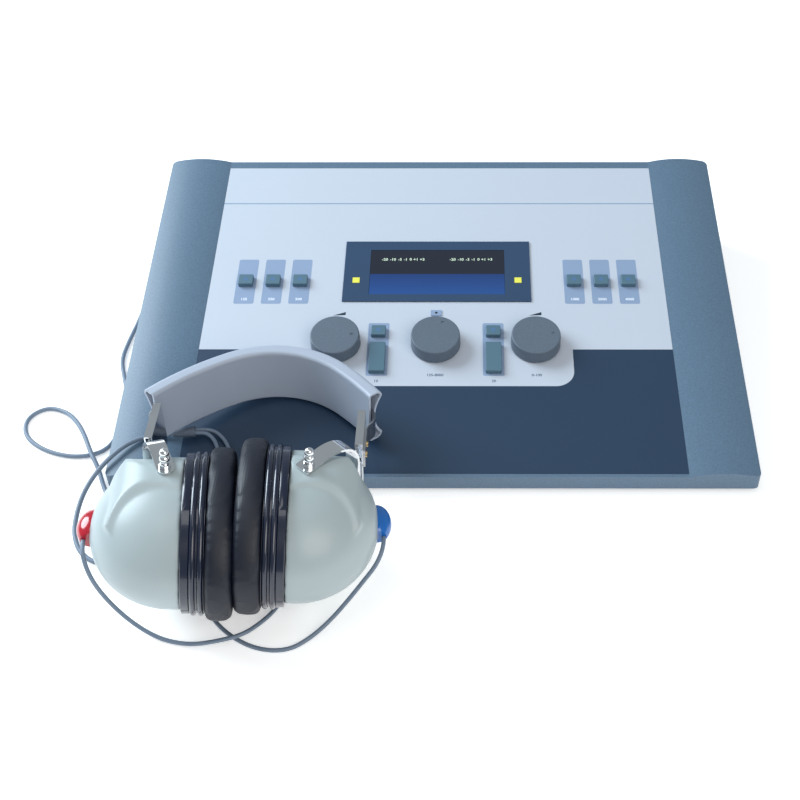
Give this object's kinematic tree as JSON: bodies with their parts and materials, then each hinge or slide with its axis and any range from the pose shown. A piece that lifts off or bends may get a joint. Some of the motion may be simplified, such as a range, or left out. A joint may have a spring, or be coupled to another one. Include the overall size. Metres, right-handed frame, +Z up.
{
  "type": "audiometer",
  "caption": "Desktop screening audiometer: wedge console with sprung keys, turning knobs and a display, and a band headset with two large cups lying in front on its cord.",
  "frame": {"origin": "centre of the whole set's footprint (console and the headset in front of it) on the table", "axes": "+X to the operator's right, +Y to the rear of the console, +Z up"},
  "size_m": [0.4214, 0.4273, 0.0862],
  "materials": {
    "housing": "satin",
    "base": "matte",
    "rubber": "matte",
    "steel": "satin",
    "chrome": "polished",
    "brass": "polished",
    "overlay": "satin",
    "dark_panel": "gloss",
    "lens": "gloss",
    "lcd": "gloss",
    "lamp": "gloss",
    "board": "satin",
    "key_cap": "satin",
    "knob": "matte",
    "black_plastic": "satin",
    "sleeve": "satin",
    "cup": "satin",
    "ring": "gloss",
    "cushion": "matte",
    "red_cap": "gloss",
    "blue_cap": "gloss",
    "cord": "satin",
    "receiver": "satin"
  },
  "bodies": {
    "console": {"top_cover": "housing", "bottom_plate": "base", "rubber_feet": "rubber", "case_screws": "steel", "panel_overlay": "overlay", "display_bezel": "dark_panel", "display_window": "lens", "lcd_module": "lcd", "status_leds": "lamp", "talk_mic": "black_plastic", "control_board": "board", "panel_switchgear": "black_plastic", "main_board": "board", "rear_panel": "housing", "rear_sockets": "black_plastic", "jack_plug": "black_plastic", "plug_cable": "cord", "cable_coil": "cord", "main_cable": "cord"},
    "key_left_inner": {"key_left_inner": "key_cap"},
    "key_left_middle": {"key_left_middle": "key_cap"},
    "key_left_outer": {"key_left_outer": "key_cap"},
    "key_left_lower": {"key_left_lower": "key_cap"},
    "bar_left": {"bar_left": "key_cap"},
    "key_right_inner": {"key_right_inner": "key_cap"},
    "key_right_middle": {"key_right_middle": "key_cap"},
    "key_right_outer": {"key_right_outer": "key_cap"},
    "key_right_lower": {"key_right_lower": "key_cap"},
    "bar_right": {"bar_right": "key_cap"},
    "knob_left": {"knob_left": "knob"},
    "knob_centre": {"knob_centre": "knob"},
    "knob_right": {"knob_right": "knob"},
    "power_rocker": {"power_rocker": "black_plastic"},
    "headband": {"headband_sleeve": "sleeve", "spring_band": "steel", "slider_channels": "chrome", "channel_rivets": "brass", "cable_splitter": "black_plastic", "lead_red": "cord", "lead_blue": "cord"},
    "stem_left": {"stem_left": "steel"},
    "clevis_left": {"clevis_left": "steel", "clevis_pins_left": "steel"},
    "yoke_left": {"yoke_left": "chrome"},
    "cup_left": {"cup_shell_left": "cup", "cup_ring_left": "ring", "ear_cushion_left": "cushion", "receiver_left": "receiver", "stud_bolts_left": "chrome", "lead_cap_left": "red_cap"},
    "stem_right": {"stem_right": "steel"},
    "clevis_right": {"clevis_right": "steel", "clevis_pins_right": "steel"},
    "yoke_right": {"yoke_right": "chrome"},
    "cup_right": {"cup_shell_right": "cup", "cup_ring_right": "ring", "ear_cushion_right": "cushion", "receiver_right": "receiver", "stud_bolts_right": "chrome", "lead_cap_right": "blue_cap"}
  },
  "joints": [
    {"name": "key_left_inner_press", "type": "slide", "parent": "console", "child": "key_left_inner", "axis": [0, 0.1822, -0.9833], "range_m": [0, 0.0012], "stiffness_N_per_m": 600},
    {"name": "key_left_middle_press", "type": "slide", "parent": "console", "child": "key_left_middle", "axis": [0, 0.1822, -0.9833], "range_m": [0, 0.0012], "stiffness_N_per_m": 600},
    {"name": "key_left_outer_press", "type": "slide", "parent": "console", "child": "key_left_outer", "axis": [0, 0.1822, -0.9833], "range_m": [0, 0.0012], "stiffness_N_per_m": 600},
    {"name": "key_left_lower_press", "type": "slide", "parent": "console", "child": "key_left_lower", "axis": [0, 0.1822, -0.9833], "range_m": [0, 0.0012], "stiffness_N_per_m": 600},
    {"name": "bar_left_press", "type": "slide", "parent": "console", "child": "bar_left", "axis": [0, 0.1822, -0.9833], "range_m": [0, 0.0012], "stiffness_N_per_m": 700},
    {"name": "key_right_inner_press", "type": "slide", "parent": "console", "child": "key_right_inner", "axis": [0, 0.1822, -0.9833], "range_m": [0, 0.0012], "stiffness_N_per_m": 600},
    {"name": "key_right_middle_press", "type": "slide", "parent": "console", "child": "key_right_middle", "axis": [0, 0.1822, -0.9833], "range_m": [0, 0.0012], "stiffness_N_per_m": 600},
    {"name": "key_right_outer_press", "type": "slide", "parent": "console", "child": "key_right_outer", "axis": [0, 0.1822, -0.9833], "range_m": [0, 0.0012], "stiffness_N_per_m": 600},
    {"name": "key_right_lower_press", "type": "slide", "parent": "console", "child": "key_right_lower", "axis": [0, 0.1822, -0.9833], "range_m": [0, 0.0012], "stiffness_N_per_m": 600},
    {"name": "bar_right_press", "type": "slide", "parent": "console", "child": "bar_right", "axis": [0, 0.1822, -0.9833], "range_m": [0, 0.0012], "stiffness_N_per_m": 700},
    {"name": "knob_left_turn", "type": "hinge", "parent": "console", "child": "knob_left", "pos_m": [-0.0594, 0.0216, 0.02922], "axis": [0, -0.1822, 0.9833], "continuous": true},
    {"name": "knob_centre_turn", "type": "hinge", "parent": "console", "child": "knob_centre", "pos_m": [0, 0.0216, 0.02922], "axis": [0, -0.1822, 0.9833], "continuous": true},
    {"name": "knob_right_turn", "type": "hinge", "parent": "console", "child": "knob_right", "pos_m": [0.0594, 0.0216, 0.02922], "axis": [0, -0.1822, 0.9833], "continuous": true},
    {"name": "power_rocker_tilt", "type": "hinge", "parent": "console", "child": "power_rocker", "pos_m": [0.13, 0.17468, 0.022], "axis": [1, 0, 0], "range_deg": [0, 18]},
    {"name": "headset_lift", "type": "slide", "parent": "console", "child": "headband", "axis": [0, 0, 1], "range_m": [0, 0.12], "deforming": ["main_cable"]},
    {"name": "stem_left_slide", "type": "slide", "parent": "headband", "child": "stem_left", "axis": [-0.0008, -0.9998, -0.0174], "range_m": [0, 0.0125], "deforming": ["lead_red"]},
    {"name": "clevis_left_hinge", "type": "hinge", "parent": "stem_left", "child": "clevis_left", "pos_m": [-0.14526, -0.09232, 0.04211], "axis": [-0.0454, 0.0175, -0.9988], "range_deg": [0, 10], "deforming": ["lead_red"]},
    {"name": "yoke_left_swivel", "type": "hinge", "parent": "clevis_left", "child": "yoke_left", "pos_m": [-0.14358, -0.09611, 0.04197], "axis": [-0.405, 0.9137, 0.0344], "range_deg": [-6, 0], "deforming": ["lead_red"]},
    {"name": "cup_left_tilt", "type": "hinge", "parent": "yoke_left", "child": "cup_left", "pos_m": [-0.1305, -0.12562, 0.04086], "axis": [-0.1311, -0.0208, -0.9912], "range_deg": [0, 10], "deforming": ["lead_red"]},
    {"name": "stem_right_slide", "type": "slide", "parent": "headband", "child": "stem_right", "axis": [-0.0008, -0.9998, -0.0174], "range_m": [0, 0.015], "deforming": ["lead_blue"]},
    {"name": "clevis_right_hinge", "type": "hinge", "parent": "stem_right", "child": "clevis_right", "pos_m": [-0.03847, -0.08982, 0.03731], "axis": [0.0454, -0.0175, 0.9988], "range_deg": [0, 15], "deforming": ["lead_blue"]},
    {"name": "yoke_right_swivel", "type": "hinge", "parent": "clevis_right", "child": "yoke_right", "pos_m": [-0.0411, -0.09303, 0.03737], "axis": [0.6333, 0.7737, -0.0152], "range_deg": [0, 10], "deforming": ["lead_blue"]},
    {"name": "cup_right_tilt", "type": "hinge", "parent": "yoke_right", "child": "cup_right", "pos_m": [-0.06155, -0.11802, 0.03786], "axis": [0.1125, -0.0726, 0.991], "range_deg": [0, 10], "deforming": ["lead_blue"]}
  ]
}
